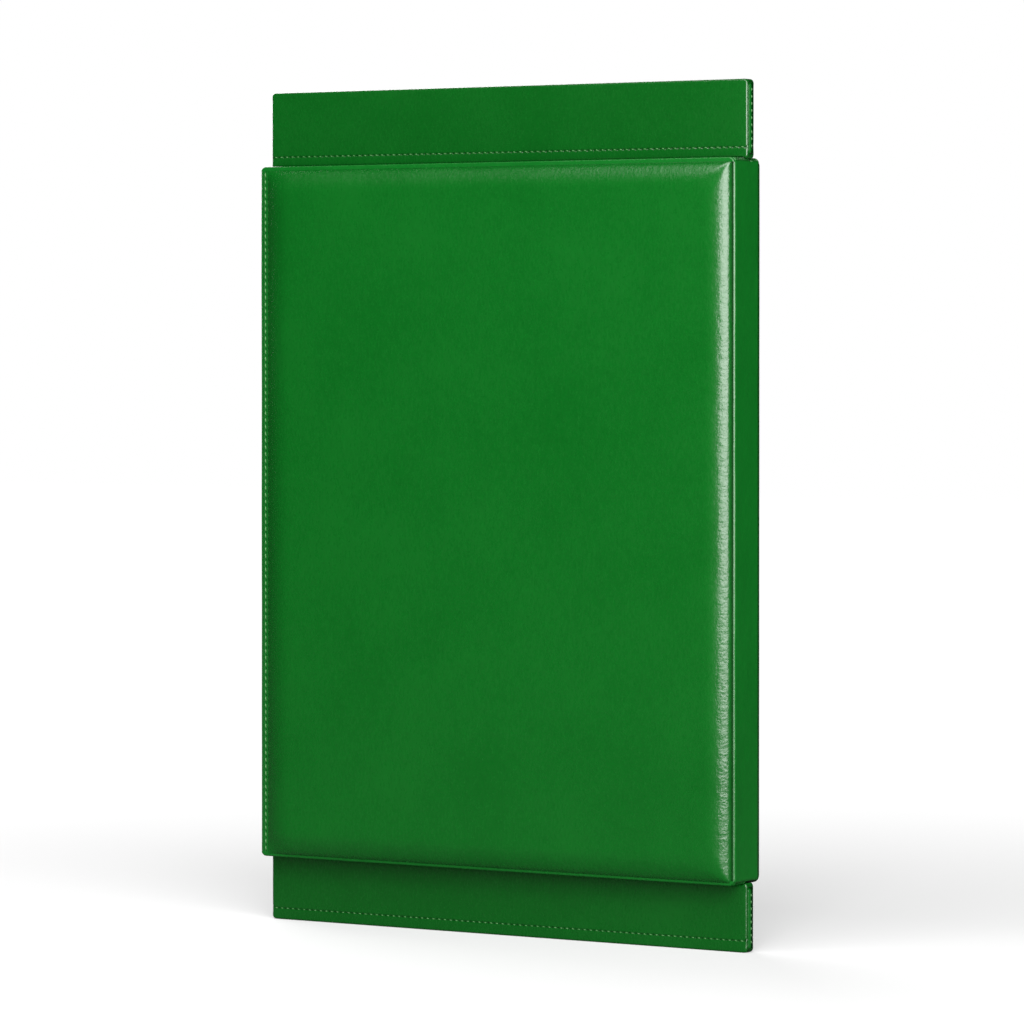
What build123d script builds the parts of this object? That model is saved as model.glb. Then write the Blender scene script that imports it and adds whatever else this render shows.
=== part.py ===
"""Two-drawer card deck box in padded leather.

A flat rectangular sleeve of board, open at its top and bottom mouths, is padded with foam and
covered in leather.  A tray slides out of each mouth.  Each tray carries a slim leather-wrapped
bar outside the mouth, which is its pull and its stop.  The box stands upright on the lower bar.

Units are millimetres.  X runs across the width, Y from the front (-Y) to the back (+Y) and Z up.
The origin is on the floor, below the centre of the sleeve.
"""

import os

from build123d import *

# ---------------------------------------------------------------- driving dimensions
sleeve_width = 263.0        # leather face to leather face
sleeve_height = 330.0       # mouth rim to mouth rim
sleeve_depth = 21.0         # front seam plane to back seam plane, without the pads

board = 1.5                 # sleeve walls, tray walls and dividers
floor_board = 1.2           # tray floors
leather = 1.0
lining = 0.3                # suede on the sleeve's inner faces
felt = 0.4                  # on the tray floors
foam = 4.4                  # under the front and back covers
partition = 3.0             # strip across the middle of the sleeve, between the trays

rim_height = 2.2            # binding that caps the board edges at each mouth
sleeve_corner = 2.7         # radius of the sleeve's corners, seen from the front
sleeve_edge_radius = 0.7    # rims and outer edges of the sleeve's leather
pad_seam_inset = 1.4        # pad edge, in from the sleeve's side faces
pad_roll = 4.6              # radius of the pad's front edges
pad_corner = 5.0            # radius of the pad's corners, seen from the front
flange_width = 4.2          # flat stitched margin along the front cover's left edge

slide_clearance = 0.25      # tray to lining, on each side
stop_clearance = 0.1        # tray end to partition, drawer shut
bar_gap = 0.5               # bar to mouth rim, drawer shut

mouth_wall = 5.0            # wooden strip across the tray's outer end
bays = 3                    # card bays in each tray
notch_length = 44.0         # finger notch in each bay divider
notch_depth = 8.0
notch_corner = 4.0

bar_overhang = 0.5          # bar past the sleeve's side faces, at each end
bar_thickness = 6.5
bar_offset = 2.1            # bar's centre plane, behind the sleeve's centre plane
upper_bar_height = 35.2
lower_bar_height = 30.7
bar_edge_radius = 0.8       # edges of the wrap's front and back faces
bar_corner = 1.6            # radius of the bar's corners, seen from the front
end_cap_recess = 0.5        # end gusset, in from the bar's end
tongue_width = 200.0        # tab of the bar core that enters the mouth wall
tongue_thickness = 3.0
tongue_depth = 3.5          # reach into the mouth wall

thread_width = 0.6
thread_height = 0.35
thread_play = 0.1           # groove wall to thread, on each side
edge_stitch_inset = 2.9     # left edge stitching, in from the sleeve's side face
upper_stitch_height = 4.3   # stitch line above the upper bar's lower edge
lower_stitch_height = 5.4   # stitch line above the lower bar's lower edge
thread_end_inset = 2.5      # row's end, in from the edge it runs up to

# ---------------------------------------------------------------- derived places
half_width = sleeve_width / 2
half_depth = sleeve_depth / 2
sleeve_bottom = lower_bar_height + bar_gap
sleeve_top = sleeve_bottom + sleeve_height
sleeve_middle = (sleeve_bottom + sleeve_top) / 2
wall_bottom = sleeve_bottom + rim_height
wall_top = sleeve_top - rim_height

board_half_width = half_width - leather
cavity_half_width = board_half_width - board - lining
cavity_half_depth = half_depth - board - lining
pad_thickness = foam + leather

tray_half_width = cavity_half_width - slide_clearance
tray_half_depth = cavity_half_depth - slide_clearance
tray_length = sleeve_height / 2 - partition / 2 - stop_clearance
tray_bed = tray_half_depth - floor_board       # inner face of the tray floor
bay_bed = tray_bed - felt                      # what the cards lie on
bay_half_width = tray_half_width - board
bay_width = (2 * bay_half_width - (bays - 1) * board) / bays
bay_near = leather + mouth_wall                # bay's ends, in from the mouth plane
bay_far = tray_length - board

bar_half_width = half_width + bar_overhang
core_half_thickness = bar_thickness / 2 - leather
core_half_width = bar_half_width - end_cap_recess - leather
groove_width = thread_width + 2 * thread_play


def block(x0, x1, y0, y1, z0, z1):
    """A box between two corners, given in either order along each axis."""
    centre = ((x0 + x1) / 2, (y0 + y1) / 2, (z0 + z1) / 2)
    return Pos(*centre) * Box(abs(x1 - x0), abs(y1 - y0), abs(z1 - z0))


def slab(x0, x1, y0, y1, z0, z1, corner, roll, rolled_faces=(0, -1)):
    """A flat upright slab with rounded corners, seen from the front.

    The edges of its front face (0) and back face (-1) are rolled to a radius of their own.
    """
    solid = block(x0, x1, y0, y1, z0, z1)
    solid = fillet(solid.edges().filter_by(Axis.Y), corner)
    faces = solid.faces().filter_by(Plane.XZ).sort_by(Axis.Y)
    return fillet([edge for index in rolled_faces for edge in faces[index].edges()], roll)


def save(name, *solids):
    """Writes one sub-part, of one solid or several, under its node's name."""
    shape = solids[0] if len(solids) == 1 else Compound(children=list(solids))
    shape.label = name
    export_step(shape, f"parts/{name}.step")


# ---------------------------------------------------------------- sleeve: boards and linings
def sleeve_walls():
    """Four boards glued into a flat tube, the front and back ones over the edges of the sides."""
    for name, side in (("front", -1), ("back", 1)):
        outer, inner = side * half_depth, side * (half_depth - board)
        save(
            f"sleeve_{name}_board",
            block(-board_half_width, board_half_width, outer, inner, wall_bottom, wall_top),
        )
        save(
            f"{name}_lining",
            block(-cavity_half_width - lining, cavity_half_width + lining,
                  inner, side * cavity_half_depth, wall_bottom, wall_top),
        )
    between = half_depth - board
    for name, side in (("left", -1), ("right", 1)):
        save(
            f"sleeve_{name}_board",
            block(side * board_half_width, side * (board_half_width - board),
                  -between, between, wall_bottom, wall_top),
        )
    save("side_linings", *[
        block(side * cavity_half_width, side * (cavity_half_width + lining),
              -cavity_half_depth, cavity_half_depth, wall_bottom, wall_top)
        for side in (-1, 1)
    ])


def centre_partition():
    """The strip that both trays stop against, which also keeps the long walls apart."""
    save("centre_partition", block(
        -cavity_half_width, cavity_half_width, -cavity_half_depth, cavity_half_depth,
        sleeve_middle - partition / 2, sleeve_middle + partition / 2))


# ---------------------------------------------------------------- sleeve: leather and foam
def sleeve_envelope():
    """The sleeve's whole outer shape without its pads, which trims the leather round it."""
    return slab(-half_width, half_width, -half_depth - leather, half_depth + leather,
                sleeve_bottom, sleeve_top, sleeve_corner, sleeve_edge_radius)


def side_covers(envelope):
    """Leather gussets on the narrow sides."""
    for name, side in (("left", -1), ("right", 1)):
        strip = block(side * board_half_width, side * half_width,
                      -half_depth, half_depth, wall_bottom, wall_top)
        save(f"{name}_side_cover", strip & envelope)


def cushion(side, left, inset, thickness):
    """A flat cushion on the front (side -1) or back (side 1) board, with rolled front edges.

    left is the X of its left edge at the seam, and inset draws the whole outline in from there
    and from the other three edges of the pad.
    """
    return slab(left + inset, half_width - pad_seam_inset - inset,
                side * half_depth, side * (half_depth + thickness),
                wall_bottom + inset, wall_top - inset,
                pad_corner - inset, pad_roll - inset, (0,) if side < 0 else (-1,))


def padded_faces(envelope):
    """Foam and leather on both broad faces.  The front leather has a stitched flange at its left."""
    back_left = -half_width + pad_seam_inset
    front_left = -half_width + flange_width
    for name, side, left in (("front", -1, front_left), ("back", 1, back_left)):
        filling = cushion(side, left, leather, foam)
        cover = cushion(side, left, 0, pad_thickness) - filling
        if name == "front":
            flange_face = -half_depth - leather
            flange = block(-half_width, front_left + pad_corner, -half_depth, flange_face,
                           wall_bottom, wall_top)
            seam = -half_width + edge_stitch_inset
            groove = block(seam - groove_width / 2, seam + groove_width / 2,
                           flange_face, flange_face + thread_height, wall_bottom, wall_top)
            cover = cover + ((flange & envelope) - cushion(side, left, 0, pad_thickness)) - groove
        save(f"{name}_foam_pad", filling)
        save(f"{name}_cover", cover)
    seam = -half_width + edge_stitch_inset
    flange_face = -half_depth - leather
    save("left_edge_thread", block(
        seam - thread_width / 2, seam + thread_width / 2, flange_face,
        flange_face + thread_height, wall_bottom + thread_end_inset, wall_top - thread_end_inset))


def mouth_bindings(envelope):
    """Leather strips that cap the board edges round each mouth, one along each wall."""
    for name, rim, edge in (("lower", sleeve_bottom, wall_bottom), ("upper", sleeve_top, wall_top)):
        strips = [
            block(-half_width, half_width, side * cavity_half_depth,
                  side * (half_depth + leather), edge, rim)
            for side in (-1, 1)
        ] + [
            block(side * cavity_half_width, side * half_width,
                  -cavity_half_depth, cavity_half_depth, edge, rim)
            for side in (-1, 1)
        ]
        save(f"{name}_mouth_binding", *[strip & envelope for strip in strips])


# ---------------------------------------------------------------- drawers
def drawer(name, out, mouth, bar_height, stitch_height):
    """One drawer.  out is +1 or -1, the way it slides along Z, and mouth the Z of its rim."""

    def depth(distance):
        """Z at a distance into the sleeve from the mouth plane; negative is outside."""
        return mouth - out * distance

    tray(name, depth)
    bar(name, depth, bar_height, stitch_height)


def tongue_slot(depth, reach):
    """The space that the bar core's tongue fills, from outside the mouth to reach inside it."""
    half = tongue_thickness / 2
    return block(-tongue_width / 2, tongue_width / 2, bar_offset - half, bar_offset + half,
                 depth(-bar_gap), depth(reach))


def tray(name, depth):
    """The card tray.  Its floor is at the back and its open face at the front."""
    save(f"{name}_tray_floor", block(
        -tray_half_width, tray_half_width, tray_bed, tray_half_depth,
        depth(leather), depth(tray_length)))
    save(f"{name}_tray_side_walls", *[
        block(side * tray_half_width, side * bay_half_width, -tray_half_depth, tray_bed,
              depth(leather), depth(tray_length))
        for side in (-1, 1)
    ])
    save(f"{name}_tray_inner_wall", block(
        -bay_half_width, bay_half_width, -tray_half_depth, tray_bed,
        depth(bay_far), depth(tray_length)))

    reach = leather + tongue_depth
    slot = tongue_slot(depth, reach)
    save(f"{name}_mouth_wall", block(
        -bay_half_width, bay_half_width, -tray_half_depth, tray_bed,
        depth(leather), depth(bay_near)) - slot)
    save(f"{name}_mouth_facing", block(
        -tray_half_width, tray_half_width, -tray_half_depth, tray_half_depth,
        depth(0), depth(leather)) - slot)
    save(f"{name}_tray_lining", block(
        -bay_half_width, bay_half_width, tray_bed, bay_bed, depth(bay_near), depth(bay_far)))

    dividers = []
    for index in range(1, bays):
        left = -bay_half_width + index * bay_width + (index - 1) * board
        divider = block(left, left + board, -tray_half_depth, bay_bed,
                        depth(bay_near), depth(bay_far))
        middle = (bay_near + bay_far) / 2
        notch = block(left, left + board,
                      -tray_half_depth - notch_corner, -tray_half_depth + notch_depth,
                      depth(middle - notch_length / 2), depth(middle + notch_length / 2))
        bottom = notch.edges().filter_by(Axis.X).sort_by(Axis.Y)[-2:]
        dividers.append(divider - fillet(bottom, notch_corner))
    save(f"{name}_bay_dividers", *dividers)


def bar(name, depth, height, stitch_height):
    """The leather-wrapped bar outside the mouth: board core, wrap, end gussets and thread."""
    inner_edge, outer_edge = depth(-bar_gap), depth(-bar_gap - height)
    low, high = sorted((inner_edge, outer_edge))
    front, back = bar_offset - bar_thickness / 2, bar_offset + bar_thickness / 2
    core_front, core_back = bar_offset - core_half_thickness, bar_offset + core_half_thickness

    slot = tongue_slot(depth, leather + tongue_depth)
    core = block(-core_half_width, core_half_width, core_front, core_back,
                 low + leather, high - leather)
    tongue_root = depth(-bar_gap - leather)
    half = tongue_thickness / 2
    neck = block(-tongue_width / 2, tongue_width / 2, bar_offset - half, bar_offset + half,
                 tongue_root, depth(-bar_gap))
    save(f"{name}_bar_core", core + neck + slot)

    wrap = slab(-bar_half_width, bar_half_width, front, back, low, high,
                bar_corner, bar_edge_radius)
    hollow = block(-bar_half_width, bar_half_width, core_front, core_back,
                   low + leather, high - leather)
    stitch_z = low + stitch_height
    grooves = [
        block(-bar_half_width, bar_half_width, face, face + inward * thread_height,
              stitch_z - groove_width / 2, stitch_z + groove_width / 2)
        for face, inward in ((front, 1), (back, -1))
    ]
    save(f"{name}_bar_cover", wrap - hollow - neck - grooves[0] - grooves[1])

    cap_outer = bar_half_width - end_cap_recess
    save(f"{name}_bar_end_caps", *[
        block(side * cap_outer, side * core_half_width, core_front, core_back,
              low + leather, high - leather)
        for side in (-1, 1)
    ])

    row_half = bar_half_width - thread_end_inset
    rows = [
        block(-row_half, row_half, face, face + inward * thread_height,
              stitch_z - thread_width / 2, stitch_z + thread_width / 2)
        for face, inward in ((front, 1), (back, -1))
    ]
    end_row_y = bar_offset + core_half_thickness / 2
    rows += [
        block(side * cap_outer, side * (cap_outer + thread_height),
              end_row_y - thread_width / 2, end_row_y + thread_width / 2,
              low + thread_end_inset, high - thread_end_inset)
        for side in (-1, 1)
    ]
    save(f"{name}_bar_thread", *rows)


# ---------------------------------------------------------------- build
os.makedirs("parts", exist_ok=True)
sleeve_walls()
centre_partition()
outer_shape = sleeve_envelope()
side_covers(outer_shape)
padded_faces(outer_shape)
mouth_bindings(outer_shape)
drawer("upper", 1, sleeve_top, upper_bar_height, upper_stitch_height)
drawer("lower", -1, sleeve_bottom, lower_bar_height, lower_stitch_height)
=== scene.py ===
# %% [markdown]
# # A padded leather card deck box
#
# The box is a flat sleeve of board, padded on both broad faces and covered in green leather.
# A card tray slides out of its top, another out of its bottom, and each carries a slim
# leather-wrapped bar.  The CAD model already fixes every size, so this lesson only dresses it:
# soft pads, folded edges, thread, and the finish of each material.
#
# Everything is in metres, in the CAD model's own frame: X to the right, Y to the back, Z up.

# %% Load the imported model
import math

import bmesh
import bpy
import numpy as np
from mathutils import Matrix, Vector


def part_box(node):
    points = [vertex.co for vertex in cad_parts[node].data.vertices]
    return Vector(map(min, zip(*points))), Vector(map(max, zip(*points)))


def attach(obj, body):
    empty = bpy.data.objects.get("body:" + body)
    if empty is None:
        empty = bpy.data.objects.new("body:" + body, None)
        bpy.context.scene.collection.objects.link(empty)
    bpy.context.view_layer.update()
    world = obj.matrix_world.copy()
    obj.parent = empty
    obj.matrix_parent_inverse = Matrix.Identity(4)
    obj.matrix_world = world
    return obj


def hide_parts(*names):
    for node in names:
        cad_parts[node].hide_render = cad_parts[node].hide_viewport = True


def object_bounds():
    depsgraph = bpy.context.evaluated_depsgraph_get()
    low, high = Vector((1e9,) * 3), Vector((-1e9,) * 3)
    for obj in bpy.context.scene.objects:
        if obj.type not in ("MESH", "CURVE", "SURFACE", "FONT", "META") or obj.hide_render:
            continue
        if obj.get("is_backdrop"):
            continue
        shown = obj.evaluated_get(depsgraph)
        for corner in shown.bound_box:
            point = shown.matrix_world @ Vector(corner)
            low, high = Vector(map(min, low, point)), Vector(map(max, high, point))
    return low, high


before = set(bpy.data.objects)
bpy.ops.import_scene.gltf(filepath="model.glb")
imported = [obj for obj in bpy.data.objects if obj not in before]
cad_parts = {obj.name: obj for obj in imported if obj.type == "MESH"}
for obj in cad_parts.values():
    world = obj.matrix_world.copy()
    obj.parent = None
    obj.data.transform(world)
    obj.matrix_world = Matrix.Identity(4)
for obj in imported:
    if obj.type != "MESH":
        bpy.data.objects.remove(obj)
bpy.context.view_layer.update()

mm = 0.001

# %% [markdown]
# ## The places that everything else hangs on
#
# A made-up number would drift from the CAD model, so each place is read from the box of the
# node that owns it.  Front is -Y, and the two seam planes are the outer faces of the boards.

# %% Read the sleeve's places
board_low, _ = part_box("sleeve_front_board")
_, board_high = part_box("sleeve_back_board")
side_low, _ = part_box("left_side_cover")
_, side_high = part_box("right_side_cover")
rim_low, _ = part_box("lower_mouth_binding")
_, rim_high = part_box("upper_mouth_binding")
_, back_cover_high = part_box("back_cover")
thread_low, thread_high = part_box("left_edge_thread")

SIDE = side_high.x                      # leather face of the sleeve's narrow side
SEAM = board_high.y                     # seam plane, in front at -SEAM and behind at +SEAM
FACE = back_cover_high.y                # crown of a pad
BOTTOM, TOP = rim_low.z, rim_high.z     # the two mouth rims
EDGE_SEAM_X = (thread_low.x + thread_high.x) / 2    # the left edge's stitch line
PAD_INSET = SIDE - back_cover_high.x    # pad seam, in from the side face
FLANGE = 4.2 * mm                       # stitched margin at the front's left
MARGIN_RISE = 1.0 * mm                  # its leather, over the seam plane
SLEEVE_CORNER = 2.7 * mm                # rounding of the sleeve's corners, seen from the front
print("sleeve, mm:", [round(v / mm, 2) for v in (SIDE, SEAM, FACE, BOTTOM, TOP, PAD_INSET)])

# %% [markdown]
# ## Surfaces from arrays
#
# A sculpted look could be pushed about by hand, but a formula can be read, checked and changed.
# Each new piece is a grid of points worked out with numpy.  `Skin` collects such grids, joins
# neighbouring points into four-sided faces, and turns all faces of the closed shell outwards.

# %% A collector of grids
class Skin:
    """Collects grids of points and makes one mesh object of them."""

    def __init__(self):
        self.points, self.faces, self.marks = [], [], {}

    def add(self, grid, around=False, along=False, caps=False, **marks):
        """Adds a (rows, columns, 3) grid, or many at once as (copies, rows, columns, 3).

        around joins the last column to the first, along the last row to the first, and caps
        closes the first and last rows with one face each.  A mark is an attribute: one number
        for each point of the grid.
        """
        grid = np.asarray(grid, float)
        if grid.ndim == 3:
            grid = grid[None]
        copies, rows, columns, _ = grid.shape
        first = sum(len(block) for block in self.points)
        number = first + np.arange(copies * rows * columns).reshape(copies, rows, columns)
        wide = np.concatenate([number, number[:, :, :1]], axis=2) if around else number
        full = np.concatenate([wide, wide[:, :1]], axis=1) if along else wide
        quads = np.stack([full[:, :-1, :-1], full[:, 1:, :-1],
                          full[:, 1:, 1:], full[:, :-1, 1:]], axis=-1)
        self.faces += quads.reshape(-1, 4).tolist()
        if caps:
            self.faces += number[:, 0].tolist() + number[:, -1, ::-1].tolist()
        self.points.append(grid.reshape(-1, 3))
        for name, values in marks.items():
            flat = np.broadcast_to(values, grid.shape[:-1]).reshape(-1)
            self.marks.setdefault(name, np.zeros(first))
            self.marks[name] = np.concatenate([self.marks[name], flat])
        for name in self.marks:
            missing = first + grid[..., 0].size - len(self.marks[name])
            self.marks[name] = np.concatenate([self.marks[name], np.zeros(missing)])
        return self

    def build(self, name, sharp=50, merge=False):
        """Makes the object: smooth faces, sharp where they meet at more than that many degrees.

        merge joins points that lie in the same place, where two grids share an edge.
        """
        mesh = bpy.data.meshes.new(name)
        mesh.from_pydata(np.concatenate(self.points).tolist(), [], self.faces)
        for key, values in self.marks.items():
            layer = mesh.attributes.new(key, "FLOAT", "POINT")
            layer.data.foreach_set("value", values.astype(np.float32))
        work = bmesh.new()
        work.from_mesh(mesh)
        if merge:
            bmesh.ops.remove_doubles(work, verts=work.verts, dist=0.001 * mm)
        bmesh.ops.recalc_face_normals(work, faces=work.faces)
        work.to_mesh(mesh)
        work.free()
        mesh.shade_smooth()
        mesh.set_sharp_from_angle(angle=math.radians(sharp))
        piece = bpy.data.objects.new(name, mesh)
        bpy.context.collection.objects.link(piece)
        print(f"{name}: {len(mesh.vertices)} points, {len(mesh.polygons)} faces")
        return piece


def quarter_drop(distance, radius):
    """How far a rounded corner has fallen: r minus the root of r squared less distance squared."""
    reach = np.clip(distance, 0, radius)
    return radius - np.sqrt(radius**2 - reach**2)


def slow_waves(a, b, size, seed, count=14):
    """Gentle unevenness: the mean of plane waves, each with its own direction, length and start.

    The lengths run from size to four times size.
    """
    pick = np.random.default_rng(seed)
    total = np.zeros(np.broadcast(a, b).shape)
    for _ in range(count):
        turn, start = pick.uniform(0, math.tau, 2)
        length = size * pick.uniform(1, 4)
        total += np.sin(math.tau * (a * math.cos(turn) + b * math.sin(turn)) / length + start)
    return total / math.sqrt(count)


# %% [markdown]
# ## Shader maths as Python
#
# A material is a graph of nodes.  Wiring it call by call hides the idea, so a small class wraps
# a socket and gives it the usual operators: `mask * 0.5` then adds its own Math node.  A second
# class stands for a whole material, and its one method `node` adds any other kind of node.

# %% A socket that does sums, and a finish that makes nodes
class Wire:
    """One output socket.  Sums on it add Math nodes."""

    def __init__(self, finish, socket):
        self.finish, self.socket = finish, socket

    def math(self, operation, first, second=0.0):
        return self.finish.node("ShaderNodeMath", {"operation": operation}, {0: first, 1: second})

    def __add__(self, other):
        return self.math("ADD", self, other)

    def __sub__(self, other):
        return self.math("SUBTRACT", self, other)

    def __mul__(self, other):
        return self.math("MULTIPLY", self, other)

    __radd__, __rmul__ = __add__, __mul__


class Finish:
    """A material under construction, with one Principled shader."""

    def __init__(self, name, **settings):
        self.material = bpy.data.materials.new(name)
        self.material.use_nodes = True
        self.tree = self.material.node_tree
        self.shader = next(n for n in self.tree.nodes if n.type == "BSDF_PRINCIPLED")
        self.settle(**settings)

    def node(self, kind, settings=None, inputs=None, output=0):
        """Adds a node: its settings first, then a value or a wire for each named input."""
        made = self.tree.nodes.new(kind)
        for key, value in (settings or {}).items():
            if key == "stops":
                ramp = made.color_ramp.elements
                while len(ramp) < len(value):
                    ramp.new(0.5)
                for stop, (place, colour) in zip(ramp, value):
                    stop.position, stop.color = place, (*colour, 1)
            else:
                setattr(made, key, value)
        self.fill(made, inputs or {})
        return Wire(self, made.outputs[output])

    def fill(self, made, inputs):
        for key, value in inputs.items():
            if isinstance(value, Wire):
                self.tree.links.new(value.socket, made.inputs[key])
            else:
                made.inputs[key].default_value = value

    def settle(self, **inputs):
        """Sets or wires the shader's own inputs; an underscore stands for a space."""
        self.fill(self.shader, {key.replace("_", " "): value for key, value in inputs.items()})
        return self

    def place(self, turn=0.0, stretch=(1, 1, 1)):
        """The point in the object's own metres, turned about Y and scaled along each axis."""
        point = self.node("ShaderNodeTexCoord", output="Object")
        return self.node("ShaderNodeMapping", inputs={
            "Vector": point, "Rotation": (0, math.radians(turn), 0), "Scale": stretch})

    def noise(self, where, scale, detail=2.0, rough=0.5, warp=0.0):
        return self.node("ShaderNodeTexNoise", inputs={
            "Vector": where, "Scale": scale, "Detail": detail, "Roughness": rough,
            "Distortion": warp})

    def mark(self, name):
        """An attribute of the mesh, as a number."""
        return self.node("ShaderNodeAttribute", {"attribute_name": name}, output="Fac")

    def blend(self, mask, low, high):
        """Two colours mixed by a mask."""
        return self.node("ShaderNodeMix", {"data_type": "RGBA"},
                         {0: mask, 6: low, 7: high}, output=2)

    def relief(self, height, depth, strength=1.0):
        """Turns a height from 0 to 1 into a bump that many metres deep."""
        return self.node("ShaderNodeBump", inputs={
            "Strength": strength, "Distance": depth, "Height": height})


# %% [markdown]
# ## Green leather
#
# Finished leather is nearly one colour, and what makes it leather is its skin.  It has pebbles
# about a millimetre across, fine creases that run together in one direction, and a thin coat
# that gives soft highlights.  Noise at three sizes gives the relief; a fourth, much larger,
# shifts the colour a little, as a dyed hide does.  A mark on the mesh paints shade into seams,
# grooves, needle holes and hollow insides, by mixing the colour towards a deep green.

# %% The leather finishes
def leather(name, colour, deep, turn, shine=0.25, relief=0.08, rolls=False):
    """Dyed smooth leather.  deep is the colour of its painted shade, and turn is the slant of its
    fine creases, in degrees.

    rolls adds the short folds that cross a pad's rolled edge, where its marks say so.
    """
    skin = Finish(name, Specular_IOR_Level=0.5, Coat_Roughness=0.3)
    even = skin.place()
    slanted = skin.place(turn, (1, 1, 0.45))
    pebble = skin.node("ShaderNodeTexVoronoi", {"feature": "SMOOTH_F1"},
                       {"Vector": even, "Scale": 900.0, "Smoothness": 0.6, "Randomness": 1.0})
    creases = skin.noise(slanted, 750.0, 3.0, 0.6)
    coarse = skin.noise(even, 230.0, 2.0, 0.5)
    hide = skin.noise(even, 18.0, 3.0, 0.55)
    # painted shade: a mark on the mesh that mixes the colour towards the deep green in seams,
    # grooves, holes and insides
    shade = skin.mark("crease")
    height = pebble * 0.35 + creases * 0.9 + coarse * 0.7
    if rolls:
        for mark, tilt, stretch, depth in (("side_roll", 12, (0.16, 1, 1), 2.0),
                                           ("mouth_roll", -12, (1, 1, 0.16), 0.6)):
            folds = skin.noise(skin.place(tilt, stretch), 520.0, 2.0, 0.55)
            height = height + folds * skin.mark(mark) * depth
    tone = (hide * 0.5 + creases * 0.25 + coarse * 0.25 - 0.5) * 2.2 + 0.5
    dyed = skin.blend(tone, tuple(0.86 * c for c in colour) + (1,),
                      tuple(1.13 * c for c in colour) + (1,))
    skin.settle(
        Base_Color=skin.blend(shade, dyed, (*deep, 1)),
        Roughness=(hide * 0.12 + creases * 0.14) + (shine - 0.13),
        Normal=skin.relief(height, relief * mm))
    return skin.material


GREEN = (0.0006, 0.060, 0.0044)
TRIM_GREEN = (0.0005, 0.070, 0.0052)
BAR_GREEN = (0.0005, 0.049, 0.0034)
# colour of the painted shade in seams, grooves, needle holes and insides
PAINTED_SHADE_GREEN = (0.0001, 0.014, 0.0009)
pad_leather = leather("pad_leather", GREEN, PAINTED_SHADE_GREEN, 40, 0.27, 0.09, rolls=True)
bar_leather = leather("bar_leather", BAR_GREEN, PAINTED_SHADE_GREEN, -48, 0.27, 0.08)
trim_leather = leather("trim_leather", TRIM_GREEN, PAINTED_SHADE_GREEN, 35, 0.32, 0.06)


# %% [markdown]
# ## Thread, suede, felt, board and wood
#
# These have no skin and shine little; each is made of fibres.  In thread they are twisted, in
# suede and felt they lie in soft patches, and in board and wood they run along one axis.  One
# noise, stretched along the fibres, gives each finish both its colour and its relief, so that the
# two agree.

# %% The thread, lining, board and wood finishes
def thread(name, colour):
    """Twisted thread: bands across a slanted noise, with a soft waxed sheen."""
    strand = Finish(name, Roughness=0.55, Sheen_Weight=0.08)
    twist = strand.noise(strand.place(35, (1, 1, 5)), 900.0, 2.0, 0.6)
    strand.settle(Base_Color=strand.blend(twist, tuple(0.55 * c for c in colour) + (1,),
                                          (*colour, 1)),
                  Normal=strand.relief(twist, 0.06 * mm))
    return strand.material


def nap(name, colour, grain=1400.0, depth=0.08):
    """Suede or felt: short fibres that lie in soft patches."""
    cloth = Finish(name, Roughness=0.92, Sheen_Weight=0.05, Sheen_Roughness=0.5,
                   Specular_IOR_Level=0.2)
    fibre = cloth.noise(cloth.place(20, (1, 1, 0.5)), grain, 3.0, 0.7)
    patch = cloth.noise(cloth.place(), 45.0, 3.0, 0.6)
    cloth.settle(Base_Color=cloth.blend(fibre * 0.5 + patch * 0.5,
                                        tuple(0.6 * c for c in colour) + (1,),
                                        tuple(1.35 * c for c in colour) + (1,)),
                 Normal=cloth.relief(fibre, depth * mm))
    return cloth.material


def fibre_board(name, colour, stretch, depth=0.05):
    """Board or wood: long fibres, pressed or grown along one axis."""
    plank = Finish(name, Roughness=0.7)
    grain = plank.noise(plank.place(0, stretch), 500.0, 4.0, 0.65, 0.4)
    plank.settle(Base_Color=plank.blend(grain, tuple(0.7 * c for c in colour) + (1,),
                                        tuple(1.25 * c for c in colour) + (1,)),
                 Roughness=grain * 0.2 + 0.6,
                 Normal=plank.relief(grain, depth * mm))
    return plank.material


green_thread = thread("green_thread", (0.05, 0.17, 0.045))
suede = nap("suede", (0.0035, 0.036, 0.0075))
felt = nap("felt", (0.0030, 0.030, 0.0065), 900.0, 0.12)
dyed_board = fibre_board("dyed_board", (0.008, 0.045, 0.013), (1, 1, 0.25))
tray_board = fibre_board("tray_board", (0.0045, 0.040, 0.009), (1, 1, 0.3))
hardwood = fibre_board("hardwood", (0.17, 0.10, 0.045), (0.06, 1, 1))
print("finishes:", [material.name for material in bpy.data.materials])


# %% [markdown]
# ## The two pads
#
# A pad is a sheet of foam under leather that is pulled down to a seam all round.  So its face is
# flat, its edges roll over, steeply at the seam and ever more gently further in, and its corners
# are pulled rounder the further in one looks.  The grid is a rectangle whose corner blocks are
# bent onto arcs: each ring of the block keeps its own arc, and the arcs grow with the distance
# from the seam.  A cloth simulation is the other way to make a pad, and was not tried here: the
# formula keeps the seam and the corners exactly where the CAD model has them.  At the front's left
# there is no seam: the same sheet runs on as the stitched margin, and only swells gently out of it.

# %% A function for a pad's surface
BLOCK = 22 * mm       # size of the bent corner blocks
NEAR = np.array([0, .06, .15, .27, .42, .6, .85, 1.15, 1.5, 1.9, 2.35, 2.85, 3.4, 4.1, 4.9, 5.8,
                 6.9, 8.2, 9.7, 11.4, 13.3, 15.4, 17.6, 19.8]) * mm    # first grid lines of a side
GRID_STEP = 2.1 * mm  # between the grid lines further in
PITCH = 3.24 * mm     # one stitch and its gap
ROW_LOW, ROW_HIGH = BOTTOM + 2.2 * mm, TOP - 2.4 * mm    # ends of the margin's stitching
LIP = 1.7 * mm        # mouth binding that shows above a pad
LOW_LIP = 1.0 * mm    # and below it


def rung_places(start, stop):
    """Places from start to stop: crowded near both ends, a steady step between."""
    inner = np.linspace(start + BLOCK, stop - BLOCK,
                        max(2, round((stop - start - 2 * BLOCK) / GRID_STEP) + 1))
    return np.concatenate([start + NEAR, inner, (stop - NEAR)[::-1]])


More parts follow.
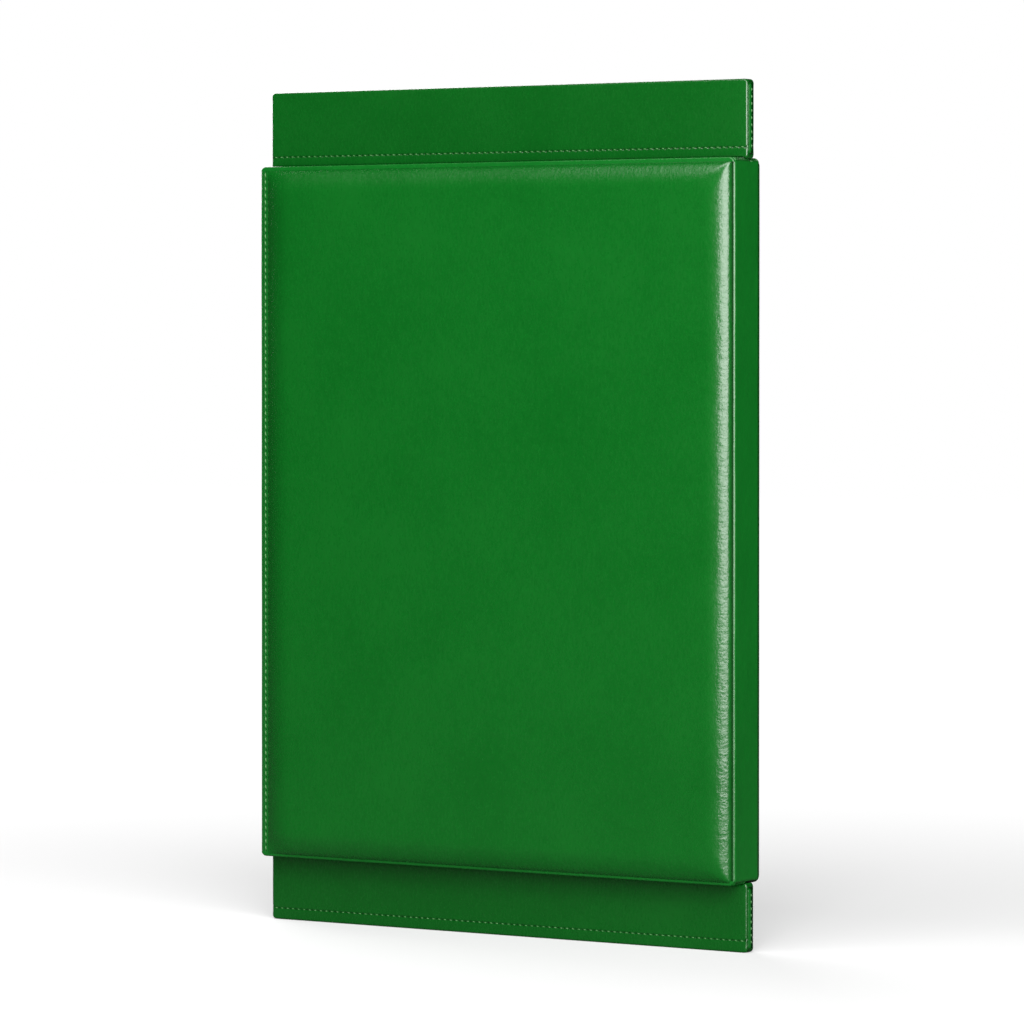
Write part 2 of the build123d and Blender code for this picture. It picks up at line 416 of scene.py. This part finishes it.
def swelling(inset, roll, steep):
    """A pad's rise from 0 to 1 at a distance in from its seam.

    A steep part, 1 less e to the minus distance over 0.7 mm, is added to a gentle one,
    1 - (1 - d/w)^1.9 over the width w of the roll; steep is the first one's share.
    """
    sharp_part = 1 - np.exp(-inset / (0.7 * mm))
    gentle_part = 1 - (1 - np.clip(inset / roll, 0, 1)) ** 1.9
    return steep * sharp_part + (1 - steep) * gentle_part


def pad_grid(left, right, bottom, top, seed, side, sheet, roll, steep, full):
    """Points of a pad's face, from seam to seam, and its marks: painted shade near the seam, and
    the folds of its rolled edge.

    In a corner block, p and q are how far a point is out towards the two edges.  Its ring is the
    larger of them, and it goes along the ring as far as the smaller says, straight at first and
    then round the arc.  Where the pad is one sheet with the margin, its left side starts at the
    margin's height and rises as a smooth step instead.  side is -1 in front and 1 behind, and
    full is the height of the crown over the seam plane.
    """
    x, z = np.meshgrid(rung_places(left, right), rung_places(bottom, top), indexing="ij")
    from_left = x - left
    p = 1 - np.clip(np.minimum(x - left, right - x) / BLOCK, 0, 1)
    q = 1 - np.clip(np.minimum(z - bottom, top - z) / BLOCK, 0, 1)
    on_left = x < (left + right) / 2
    ring = np.maximum(p, q)
    inset = (1 - ring) * BLOCK
    arc = np.minimum(0.5 * mm + 0.85 * inset, ring * BLOCK)
    straight = ring * BLOCK - arc
    walked = np.minimum(p, q) / np.maximum(ring, 1e-9) * (straight + arc * math.pi / 4)
    angle = np.maximum(walked - straight, 0) / np.maximum(arc, 1e-9)
    ahead = np.where(walked > straight, straight + arc * np.cos(angle), ring * BLOCK)
    aside = np.where(walked > straight, straight + arc * np.sin(angle), walked)
    bent = (p > 0) & (q > 0) & ~(sheet & on_left)
    out_x, out_z = np.where(p >= q, ahead, aside), np.where(p >= q, aside, ahead)
    x = np.where(bent, np.where(on_left, left + BLOCK - out_x, right - BLOCK + out_x), x)
    z = np.where(bent, np.where(z < (bottom + top) / 2, bottom + BLOCK - out_z,
                                top - BLOCK + out_z), z)

    if sheet:
        inset = np.where(on_left, (1 - q) * BLOCK, inset)
    rise = swelling(inset, roll, steep)
    u, v = (2 * x - left - right) / (right - left), (2 * z - bottom - top) / (top - bottom)
    crown = 0.45 * mm * (1 - u**4) * (1 - v**4)
    uneven = slow_waves(x, z, 24 * mm, seed) * 0.035 * mm
    gather = np.exp(-inset / (2.6 * mm)) * slow_waves(x + z, x - z, 5 * mm, seed + 1)
    height = 0.35 * mm + rise * (full - 0.8 * mm + crown + uneven + gather * 0.04 * mm)
    if sheet:
        step = 1 - (1 - np.clip(from_left / (15 * mm), 0, 1)) ** 1.9
        height = np.where(on_left, MARGIN_RISE + (height - MARGIN_RISE) * step, height)
    y = side * (SEAM + height)
    bend = np.exp(-((inset - 3.5 * mm) / (3.2 * mm)) ** 2)
    toward_side = np.clip((p - q) * 4 + 0.5, 0, 1)
    # painted shade: darker towards the seam, within about a millimetre of it
    marks = {"crease": np.exp(-inset / (0.4 * mm)) * 0.6,
             "side_roll": bend * toward_side, "mouth_roll": bend * (1 - toward_side)}
    return np.stack([x, y, z], -1), marks


def pad(name, left, right, seed, side, sheet, roll, steep, full):
    """One pad: its rolled face, closed by a flat back on the seam plane."""
    face, marks = pad_grid(left, right, BOTTOM + LOW_LIP, TOP - LIP, seed, side, sheet, roll,
                           steep, full)
    skin = Skin().add(face, **marks)
    rim = np.concatenate([face[:, 0], face[-1, 1:], face[-2::-1, -1], face[0, -2:0:-1]])
    back = rim * (1, 0, 1) + np.array((0, side * (SEAM - 0.2 * mm), 0))
    # painted shade on the flat back that closes the pad at the seam
    skin.add(np.stack([rim, back]), around=True, crease=0.6)
    rows, columns = face.shape[:2]
    skin.faces.append((rows * columns + len(rim) + np.arange(len(rim))).tolist())
    return skin.build(name, 70, merge=True)


front_pad = pad("front_pad", -SIDE + FLANGE, SIDE - PAD_INSET, seed=3, side=-1, sheet=True,
                roll=11 * mm, steep=0.24, full=FACE - SEAM + 0.6 * mm)
back_pad = pad("back_pad", -SIDE + 0.35 * mm, SIDE - 0.35 * mm, seed=8, side=1, sheet=False,
               roll=9 * mm, steep=0.75, full=FACE - SEAM)
for piece, nodes in ((front_pad, ("front_cover", "front_foam_pad")),
                     (back_pad, ("back_cover", "back_foam_pad"))):
    piece.data.materials.append(pad_leather)
    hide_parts(*nodes)
    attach(piece, "sleeve")

# %% [markdown]
# ## The stitched margin and the side panels
#
# Left of the front pad the leather lies flat and is sewn down.  Its outer edge is turned, which
# leaves a small ridge with a groove behind it, and the stitches pull a second, shallower groove.
# A profile carried along the height is enough for this, and for the side panels, whose long
# edges are rolled over the boards.

# %% Carry a profile up the sleeve
def carried(profile, heights, drop):
    """A closed profile of (x, y) at each height, shifted towards the middle by drop."""
    x = np.sign(profile[:, 0]) * (np.abs(profile[:, 0]) - drop[:, None])
    y = np.broadcast_to(profile[:, 1], x.shape)
    z = np.broadcast_to(heights[:, None], x.shape)
    return np.stack([x, y, z], -1)


def side_drop(heights):
    """How far the sleeve's rounded corners draw a side in, at each height."""
    beyond = np.maximum(heights - (TOP - SLEEVE_CORNER), BOTTOM + SLEEVE_CORNER - heights)
    return quarter_drop(beyond, SLEEVE_CORNER)


def rounded(centre, radius, start, stop, count=9):
    """Points of an arc from start to stop, in degrees; 0 points along +X and 90 along +Y."""
    turn = np.radians(np.linspace(start, stop, count))
    return np.stack([centre[0] + radius * np.cos(turn), centre[1] + radius * np.sin(turn)], -1)


PANEL_PROUD = 0.15 * mm    # panel's leather, out from the faces of its CAD node
PANEL_EDGE = 1.3 * mm      # radius of its rolled edges
RIM_LIP = 1.3 * mm         # mouth binding that shows past its ends


def side_panel(name, side):
    """Leather on a narrow side: flat, a little dished, rolled over both boards at its edges."""
    outer, front = SIDE + PANEL_PROUD, SEAM + PANEL_PROUD
    centre_x, centre_y = outer - PANEL_EDGE, front - PANEL_EDGE
    dish_y = np.linspace(-centre_y, centre_y, 26)[1:-1]
    dish = np.stack([outer - 0.12 * mm * (1 - (dish_y / centre_y) ** 4), dish_y], -1)
    tuck = centre_x - 0.15 * mm
    profile = np.concatenate([
        [[tuck, -front]], rounded((centre_x, -centre_y), PANEL_EDGE, -90, 0), dish,
        rounded((centre_x, centre_y), PANEL_EDGE, 0, 90), [[tuck, front]],
        [[tuck, front - 0.12 * mm], [SIDE - 1.2 * mm, SEAM], [SIDE - 1.2 * mm, -SEAM],
         [tuck, -front + 0.12 * mm]]])
    profile[:, 0] *= side
    heights = np.concatenate([
        np.linspace(BOTTOM + RIM_LIP, BOTTOM + 3.6 * mm, 7),
        np.linspace(BOTTOM + 4 * mm, TOP - 4 * mm, 150),
        np.linspace(TOP - 3.6 * mm, TOP - RIM_LIP, 7)])
    grid = carried(profile, heights, side_drop(heights))
    wave = slow_waves(grid[..., 2], grid[..., 1] * 3, 16 * mm, 21 + side) * 0.03 * mm
    grid[..., 0] += side * wave * (np.abs(profile[:, 0]) > SIDE - 0.2 * mm)
    # painted shade: darker at both ends, by the mouth bindings, and on the strip that tucks in at
    # each seam
    ends = np.minimum(heights - heights[0], heights[-1] - heights)[:, None]
    near_seam = np.maximum(np.abs(profile[:, 1]) - (front - 0.12 * mm), 0) / (0.12 * mm)
    shade = np.maximum(np.exp(-ends / (0.35 * mm)) * 0.7, near_seam[None] * 0.95)
    return Skin().add(grid, around=True, caps=True, crease=shade).build(name)


def turned_margin():
    """The front's flat left margin: ridge, groove, then a shallow dip along the stitches."""
    front = SEAM + MARGIN_RISE
    turned, groove_at = 1.2 * mm, 1.55 * mm       # radius of the ridge, and the groove's place
    across = np.linspace(1.2, 4.2, 34) * mm       # in from the side face
    dip = (0.14 * np.exp(-((across - groove_at) / (0.26 * mm)) ** 2)
           + 0.10 * np.exp(-((across - (EDGE_SEAM_X + SIDE)) / (0.45 * mm)) ** 2)) * mm
    face = np.stack([across - SIDE, -(front - dip)], -1)
    profile = np.concatenate([
        rounded((-SIDE + turned, -front + turned), turned, 180, 265), face,
        [[-SIDE + FLANGE, -SEAM], [-SIDE, -SEAM]]])
    heights = np.linspace(BOTTOM + LOW_LIP, TOP - LIP, 840)
    grid = carried(profile, heights, side_drop(heights))
    grid[..., 0] += slow_waves(grid[..., 2], 0, 30 * mm, 31) * 0.04 * mm * (
        profile[:, 0] < -SIDE + 1 * mm)
    pitch = (ROW_HIGH - ROW_LOW) / round((ROW_HIGH - ROW_LOW) / PITCH)
    hole = 0.5 + 0.5 * np.cos(math.tau * (heights - ROW_LOW) / pitch)
    hole = hole[:, None] ** 4 * np.exp(-((profile[:, 0] - EDGE_SEAM_X) / (0.35 * mm)) ** 2)
    grid[..., 1] += hole * 0.15 * mm
    # painted shade in the groove behind the ridge and in the needle holes
    groove = 0.6 * np.exp(-((profile[:, 0] + SIDE - groove_at) / (0.25 * mm)) ** 2)
    return Skin().add(grid, around=True, caps=True,
                      crease=np.maximum(hole * 0.8, groove[None])).build("front_margin")


front_margin = turned_margin()
right_panel, left_panel = side_panel("right_side_panel", 1), side_panel("left_side_panel", -1)
for piece, node in ((front_margin, "front_cover"), (right_panel, "right_side_cover"),
                    (left_panel, "left_side_cover")):
    piece.data.materials.append(trim_leather)
    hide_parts(node)
    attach(piece, "sleeve")

# %% [markdown]
# ## Stitches
#
# A row of topstitching is one small piece of thread after another, each rising out of one needle
# hole and diving into the next.  One such stitch is a thin spindle of a few dozen faces, and
# numpy copies it along the seam in one go.

# %% A function for rows of stitches
def stitch_row(skin, start, stop, out, thick=0.56 * mm, cover=0.68, slant=0.10, seed=1):
    """Adds stitches from start to stop, lying on a surface that faces out.

    Along each one, at t from 0 to 1, the centre rises as sin(pi t) and the radius swells as the
    fourth root of it.  slant turns every stitch a little off the line of the seam.
    """
    start, stop, out = (np.array(v, float) for v in (start, stop, out))
    length = np.linalg.norm(stop - start)
    ahead = (stop - start) / length
    aside = np.cross(out, ahead)
    count = max(1, round(length / PITCH))
    pick = np.random.default_rng(seed)
    t = np.linspace(0.02, 0.98, 7)[None, :, None, None]
    turn = np.linspace(0, math.tau, 8, endpoint=False)[None, None, :, None]
    middle = (start + ahead * ((np.arange(count) + 0.5) * length / count)[:, None])[:, None, None]
    lean = slant + pick.normal(0, 0.05, (count, 1, 1, 1))
    span = cover * PITCH * (1 + pick.normal(0, 0.04, (count, 1, 1, 1)))
    swell = np.sin(math.pi * t) ** 0.5
    radius = thick / 2 * swell
    line = middle + (t - 0.5) * span * (ahead + lean * aside)
    line = line + out * (np.sin(math.pi * t) * 0.28 - 0.16) * mm
    grid = line + radius * (np.cos(turn) * aside + np.sin(turn) * out)
    skin.add(grid, around=True, caps=True)
    return count


edge_rows = Skin()
stitch_y = -(SEAM + 0.95 * mm)
made = stitch_row(edge_rows, (EDGE_SEAM_X, stitch_y, ROW_LOW),
                  (EDGE_SEAM_X, stitch_y, ROW_HIGH), (0, -1, 0), slant=0.10, seed=5)
edge_thread = edge_rows.build("left_edge_stitches")
edge_thread.data.materials.append(green_thread)
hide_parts("left_edge_thread")
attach(edge_thread, "sleeve")
print("edge stitches:", made)


# %% [markdown]
# ## The leather-wrapped bars
#
# Each bar is a strip of board in a leather wrap that is open at its two ends, where a small
# gusset is let in and sewn.  The wrap is a closed loop of profile carried along the bar and back
# through its own inside, so it is a real shell.  Its face swells a little and falls away softly
# near the ends, the seam is drawn in at every needle hole, and the corners are rounded.

# %% A function for a bar
BAR_CORNER = 2.0 * mm     # rounding of a bar's four corners, seen from the front
BAR_EDGE = 1.0 * mm       # rounding of the wrap's edges
PROUD = 0.4 * mm          # how far the soft ends swell past the CAD node
WALL = 0.95 * mm          # thickness of the wrap
BULGE = 1.4 * mm          # height of an end gusset's half-round bulge
GUSSET_DEEP = 2.0 * mm    # how far in from the bar's end its skirt reaches


def loop_of(half_y, half_z, radius, stitch_z):
    """A rounded rectangle in (y, z) as points: front face downwards first, then round the back.

    The front and back faces get extra points near the stitch line.
    """
    face_z = np.linspace(half_z - radius, -half_z + radius, 30)[1:-1]
    near = stitch_z + np.linspace(-1.4, 1.4, 15) * mm
    face_z = np.sort(np.concatenate([face_z[np.abs(face_z - stitch_z) > 1.6 * mm], near]))[::-1]
    corner = [rounded((sy * (half_y - radius), sz * (half_z - radius)), radius, a, a + 90, 7)
              for sy, sz, a in ((-1, -1, 180), (1, -1, 270), (1, 1, 0), (-1, 1, 90))]
    bottom = np.linspace(-half_y + radius, half_y - radius, 6)[1:-1]
    front = np.stack([np.full(face_z.shape, -half_y), face_z], -1)
    back = np.stack([np.full(face_z.shape, half_y), face_z[::-1]], -1)
    low = np.stack([bottom, np.full(bottom.shape, -half_z)], -1)
    high = np.stack([bottom[::-1], np.full(bottom.shape, half_z)], -1)
    return np.concatenate([front, corner[0], low, corner[1], back, corner[2], high, corner[3]])


def bar_wrap(name, low, high, stitch_z, seed, towards):
    """The wrap of one bar, between the low and high corners of its CAD node.

    towards is -1 or 1, the side where the sleeve is: there the long edge stands 0.35 mm nearer to
    the sleeve than the CAD node does, so that no light shows through the gap, and the folded ends
    reach a little further still, as a smooth step over the last few millimetres.
    """
    centre = (np.array(low) + np.array(high)) / 2
    half = (np.array(high) - np.array(low)) / 2
    loop = loop_of(half[1], half[2], BAR_EDGE, stitch_z - centre[2])
    unit_y, unit_z = loop[:, 0], loop[:, 1]
    run = half[0] - BAR_EDGE
    stitches = round(2 * run / PITCH)
    columns = stitches * 6
    x = np.linspace(-run, run, columns + 1)
    roll = np.radians(np.linspace(0, 90, 7))[1:]
    x = np.concatenate([-(run + BAR_EDGE * np.sin(roll))[::-1], x, run + BAR_EDGE * np.sin(roll)])
    shrink = np.concatenate([BAR_EDGE * (1 - np.cos(roll))[::-1], np.zeros(columns + 1),
                             BAR_EDGE * (1 - np.cos(roll))])
    tuck = quarter_drop(np.abs(x) - (half[0] - BAR_CORNER), BAR_CORNER)
    inset_z = np.maximum(shrink, tuck)[:, None]
    inset_y = shrink[:, None]
    y = np.sign(unit_y) * np.maximum(np.abs(unit_y) - inset_y, 0)
    z = np.sign(unit_z) * np.maximum(np.abs(unit_z) - inset_z * (
        np.abs(unit_z) > half[2] * 0.5), 0)
    flat = np.clip((half[2] - np.abs(unit_z)) / (3 * mm), 0, 1)
    away = np.clip((half[0] - np.abs(x)) / (7 * mm), 0, 1)[:, None]
    soft = 0.22 * mm * (1 - (1 - away) ** 2) - 0.22 * mm        # falls away towards the ends
    swell = (0.10 * mm * (1 - (unit_z / half[2]) ** 2) + soft) * flat
    wave = slow_waves(x[:, None], unit_z[None] * 1.5, 20 * mm, seed) * 0.03 * mm * flat
    beat = (0.5 + 0.5 * np.cos(math.tau * (x + run) / (2 * run / stitches)))[:, None]
    line = np.exp(-((unit_z + centre[2] - stitch_z) / (0.42 * mm)) ** 2)[None]
    hole = beat**4 * line * (np.abs(unit_y) > half[1] * 0.9)
    pull = 0.12 * mm * line + 0.26 * mm * hole
    y = y + np.sign(unit_y) * (np.abs(unit_y) > half[1] * 0.9) * (swell + wave - pull)
    ends = np.clip((np.abs(x) - half[0] + 3.2 * mm) / (2.6 * mm), 0, 1)[:, None]
    near = np.clip((towards * unit_z - half[2] * 0.6) / (half[2] * 0.4), 0, 1)
    z = z + towards * 1.2 * mm * ends**2 * (3 - 2 * ends) * near
    long_edge = np.clip((towards * unit_z - half[2]) / (3 * mm) + 1, 0, 1)
    z = z + towards * 0.35 * mm * long_edge * (1 - ends)
    outer = np.stack([np.broadcast_to(x[:, None], y.shape), y + centre[1], z + centre[2]], -1)
    inside = loop * (half[1:] - WALL) / half[1:]
    ends = np.array([half[0] - 0.05 * mm, -half[0] + 0.05 * mm])[:, None]
    inner = np.stack([np.broadcast_to(ends, (2, len(loop))),
                      np.broadcast_to(inside[:, 0] + centre[1], (2, len(loop))),
                      np.broadcast_to(inside[:, 1] + centre[2], (2, len(loop)))], -1)
    # painted shade: in the needle holes, faintly along the stitch line, at the wrap's folded ends
    # and all over its inside
    shade = np.maximum(hole, line * 0.15)
    for last_three in (slice(None, 3), slice(-3, None)):
        shade[last_three] = np.maximum(shade[last_three], 0.3)
    shade = np.concatenate([shade, np.ones((2, len(loop)))])
    grid = np.concatenate([outer, inner])
    return Skin().add(grid, around=True, along=True, crease=shade).build(name)


def end_gusset(skin, low, high, side):
    """A strip let into the end of a bar: a half-round bulge on a flat skirt that fills the end."""
    middle_y, half_y = (low[1] + high[1]) / 2, (high[1] - low[1]) / 2 - WALL - 0.6 * mm
    skirt = half_y + 0.55 * mm
    bottom, top = low[2] + WALL + 0.05 * mm, high[2] - WALL - 0.05 * mm
    z = np.concatenate([np.linspace(0, 2.2, 9), np.linspace(3, (top - bottom) / mm - 3, 60),
                        (top - bottom) / mm - np.linspace(2.2, 0, 9)]) * mm
    from_end = np.minimum(z, z[-1] - z)
    width = half_y - quarter_drop(2.0 * mm - from_end, 2.0 * mm) * 0.8
    rise = BULGE * np.sqrt(np.clip(from_end / (1.6 * mm), 0.04, 1))
    turn = np.radians(np.linspace(0, 180, 15))
    y = middle_y + width[:, None] * np.cos(turn)
    x = (high.x - BULGE) + rise[:, None] * np.sin(turn) ** 0.8
    base = np.full((len(z), 1), high.x - BULGE)
    deep = np.full((len(z), 1), high.x - GUSSET_DEEP)
    edge = np.full((len(z), 1), skirt)
    y = np.concatenate([middle_y + edge, y, middle_y - edge, middle_y - edge, middle_y + edge], 1)
    x = np.concatenate([base, x, base, deep, deep], 1)
    # painted shade in the grooves beside the bulge and on the flat skirt
    rim = np.concatenate([[1], np.abs(np.cos(turn)) ** 6, [1, 1, 1]])
    grid = np.stack([side * x, y, np.broadcast_to((bottom + z)[:, None], y.shape)], -1)
    skin.add(grid, around=True, caps=True, crease=np.broadcast_to(rim, y.shape))


# %% Make both bars
for place, seed, seam_up, towards in (("upper", 41, 4.3 * mm, -1), ("lower", 57, 5.4 * mm, 1)):
    low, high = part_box(f"{place}_bar_cover")
    low.x, high.x = low.x - PROUD, high.x + PROUD
    stitch_z = low.z + seam_up
    body = f"{place}_drawer"

    wrap = bar_wrap(f"{place}_bar_wrap", low, high, stitch_z, seed, towards)
    wrap.data.materials.append(bar_leather)
    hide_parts(f"{place}_bar_cover")

    gussets = Skin()
    for side in (-1, 1):
        end_gusset(gussets, low, high, side)
    gussets = gussets.build(f"{place}_bar_gussets")
    gussets.data.materials.append(trim_leather)
    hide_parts(f"{place}_bar_end_caps")

    rows = Skin()
    reach = high.x - BAR_EDGE
    for face, out in ((low.y, -1), (high.y, 1)):
        stitch_row(rows, (-reach, face - out * 0.16 * mm, stitch_z),
                   (reach, face - out * 0.16 * mm, stitch_z), (0, out, 0),
                   thick=0.42 * mm, cover=0.50, slant=0.16 * out, seed=seed)
    middle = (low.y + high.y) / 2
    for side in (-1, 1):
        stitch_row(rows, (side * (high.x - 0.10 * mm), middle + 0.7 * mm, low.z + 3.2 * mm),
                   (side * (high.x - 0.10 * mm), middle + 0.7 * mm, high.z - 3.2 * mm),
                   (side, 0, 0), thick=0.5 * mm, cover=0.5, slant=0.06, seed=seed + 1)
    rows = rows.build(f"{place}_bar_stitches")
    rows.data.materials.append(green_thread)
    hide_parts(f"{place}_bar_thread")

    for piece, slot in ((wrap, "green_leather"), (gussets, "green_leather"),
                        (rows, "green_thread")):
        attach(piece, body)

# %% [markdown]
# ## The pieces that keep their CAD shape
#
# Trays, dividers, bindings and linings have the right shape as they are, but a real board edge or
# leather fold is never knife-sharp.  So those that show are copied, their loose triangles merged
# and flattened into whole faces, and a Bevel rounds their edges.  Boards and cores that lie
# hidden inside only get a finish.  The trays are of dyed board with felt on their floors, and the
# sleeve is lined with suede.

# %% Copies with rounded edges
def softened(node, material, width, segments=3):
    """A copy of a CAD node with merged points and a Bevel of the given width on its edges."""
    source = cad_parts[node]
    mesh = source.data.copy()
    work = bmesh.new()
    work.from_mesh(mesh)
    bmesh.ops.remove_doubles(work, verts=work.verts, dist=0.002 * mm)
    bmesh.ops.dissolve_limit(work, angle_limit=math.radians(1), verts=work.verts,
                             edges=work.edges)
    work.to_mesh(mesh)
    work.free()
    mesh.name = f"soft_{node}"
    mesh.materials.clear()
    mesh.materials.append(material)
    mesh.shade_smooth()
    piece = bpy.data.objects.new(f"soft_{node}", mesh)
    bpy.context.collection.objects.link(piece)
    bevel = piece.modifiers.new("round", "BEVEL")
    bevel.width, bevel.segments = width, segments
    bevel.limit_method, bevel.angle_limit = "ANGLE", math.radians(40)
    bevel.harden_normals = True
    return piece


def dress(node, material):
    """Puts one material on every slot of a CAD node."""
    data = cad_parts[node].data
    data.materials.clear()
    data.materials.append(material)


rounded_nodes = [("upper_mouth_binding", "sleeve", trim_leather, "green_leather", 0.45),
                 ("lower_mouth_binding", "sleeve", trim_leather, "green_leather", 0.45)]
for place in ("upper", "lower"):
    body = f"{place}_drawer"
    rounded_nodes += [(f"{place}_{part}", body, material, slot, width)
                      for part, material, slot, width in (
                          ("tray_side_walls", tray_board, "greyboard", 0.25),
                          ("tray_inner_wall", tray_board, "greyboard", 0.25),
                          ("tray_floor", tray_board, "greyboard", 0.2),
                          ("mouth_facing", trim_leather, "green_leather", 0.3),
                          ("bay_dividers", tray_board, "greyboard", 0.25))]
for node, body, material, slot, width in rounded_nodes:
    piece = softened(node, material, width * mm)
    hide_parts(node)
    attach(piece, body)
print("softened:", len(rounded_nodes), "nodes")

# %% Give each remaining node its finish
finishes = {
    suede: ["front_lining", "back_lining", "side_linings"],
    felt: ["upper_tray_lining", "lower_tray_lining"],
    dyed_board: ["sleeve_front_board", "sleeve_back_board", "sleeve_left_board",
                 "sleeve_right_board", "centre_partition"],
    hardwood: ["upper_bar_core", "lower_bar_core", "upper_mouth_wall", "lower_mouth_wall"],
}
for material, nodes_of_it in finishes.items():
    for node in nodes_of_it:
        dress(node, material)
print("dressed:", sum(len(group) for group in finishes.values()), "nodes")

# %% [markdown]
# ## Floor, light and camera
#
# The box stands on a pale floor that has no visible edge.  Three broad soft lights are used.  The
# key stands in front and to the right, turned far enough aside that it shows only on the rolled
# edges that face it.  A second hangs overhead and brightens the edges that face up.  A third
# stands behind and to the left, for views of the back.  The world is white to the camera alone: a
# white room would lay a grey veil over the dark leather.

# %% Floor
floor_skin = Skin()
reach = np.linspace(-6, 6, 25)
floor_x, floor_y = np.meshgrid(reach, reach, indexing="ij")
floor_skin.add(np.stack([floor_x, floor_y, np.full(floor_x.shape, -0.02 * mm)], -1))
floor = floor_skin.build("floor")
paper = Finish("paper", Roughness=0.95, Specular_IOR_Level=0.05)
away = paper.node("ShaderNodeVectorMath", {"operation": "LENGTH"}, {0: paper.place()}, "Value")
edge = paper.node("ShaderNodeMapRange", {"interpolation_type": "SMOOTHSTEP"},
                  {"Value": away, "From Min": 0.25, "From Max": 0.8})
seen_by_camera = paper.node("ShaderNodeLightPath", output="Is Camera Ray")
mirrored = paper.node("ShaderNodeLightPath", output="Is Glossy Ray")
bounced = paper.blend(mirrored, (0.45, 0.45, 0.45, 1), (0.04, 0.04, 0.04, 1))
paper.settle(Base_Color=paper.blend(seen_by_camera, bounced, (0.50, 0.50, 0.50, 1)))
glow = paper.node("ShaderNodeEmission", inputs={"Color": (1, 1, 1, 1), "Strength": 1.02})
both = paper.node("ShaderNodeMixShader", inputs={
    0: (edge * 0.7 + 0.3) * seen_by_camera, 1: Wire(paper, paper.shader.outputs[0]), 2: glow})
out = next(n for n in paper.tree.nodes if n.type == "OUTPUT_MATERIAL")
paper.tree.links.new(both.socket, out.inputs["Surface"])
floor.data.materials.append(paper.material)
floor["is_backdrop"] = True

# %% Lights
def soft_light(name, azimuth, height, distance, width, tall, brightness, aim):
    """A rectangular area light at an azimuth round the box, pointing at a height on its axis.

    Its power is pi times its area times its brightness, the radiance of its face.
    """
    data = bpy.data.lights.new(name, "AREA")
    data.shape, data.size, data.size_y = "RECTANGLE", width, tall
    data.energy = math.pi * width * tall * brightness
    lamp = bpy.data.objects.new(name, data)
    turn = math.radians(azimuth)
    lamp.location = (distance * math.sin(turn), -distance * math.cos(turn), height)
    target = Vector((0, 0, aim)) - lamp.location
    lamp.rotation_euler = target.to_track_quat("-Z", "Y").to_euler()
    bpy.context.collection.objects.link(lamp)
    return lamp


soft_light("key", azimuth=44, height=0.74, distance=1.7, width=1.45, tall=1.46,
           brightness=13.3, aim=0.45)
soft_light("top", azimuth=5, height=1.6, distance=1.0, width=1.4, tall=1.0,
           brightness=8.2, aim=0.2)
soft_light("back", azimuth=238, height=1.0, distance=1.6, width=1.3, tall=1.3,
           brightness=7, aim=0.3)
world = bpy.data.worlds.new("studio")
bpy.context.scene.world = world
world.use_nodes = True
nodes, links = world.node_tree.nodes, world.node_tree.links
seen, felt_light = nodes["Background"], nodes.new("ShaderNodeBackground")
seen.inputs["Color"].default_value = (1, 1, 1, 1)
seen.inputs["Strength"].default_value = 1.0
felt_light.inputs["Color"].default_value = (1, 1, 1, 1)
felt_light.inputs["Strength"].default_value = 0.03
path, either = nodes.new("ShaderNodeLightPath"), nodes.new("ShaderNodeMixShader")
links.new(path.outputs["Is Camera Ray"], either.inputs[0])
links.new(felt_light.outputs[0], either.inputs[1])
links.new(seen.outputs[0], either.inputs[2])
links.new(either.outputs[0], nodes["World Output"].inputs["Surface"])
bpy.context.scene.view_settings.view_transform = "Standard"

# %% Camera
turn, tilt = math.radians(33), math.radians(0.8687)
distance, aside, eye_height = 2.46992, 0.0038312, 0.27858
camera_data = bpy.data.cameras.new("camera")
camera_data.lens, camera_data.sensor_width = 185.886, 36
camera_data.shift_y = -0.09
camera_data.clip_end = 50
camera = bpy.data.objects.new("camera", camera_data)
camera.location = (distance * math.sin(turn) + aside * math.cos(turn),
                   -distance * math.cos(turn) + aside * math.sin(turn), eye_height)
camera.rotation_euler = (math.pi / 2 - tilt, 0, turn)
bpy.context.collection.objects.link(camera)
bpy.context.scene.camera = camera

# %% Print the size of what is shown, and finish
low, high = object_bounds()
print("visual box, mm:", [round(v / mm, 1) for v in (*low, *high)])
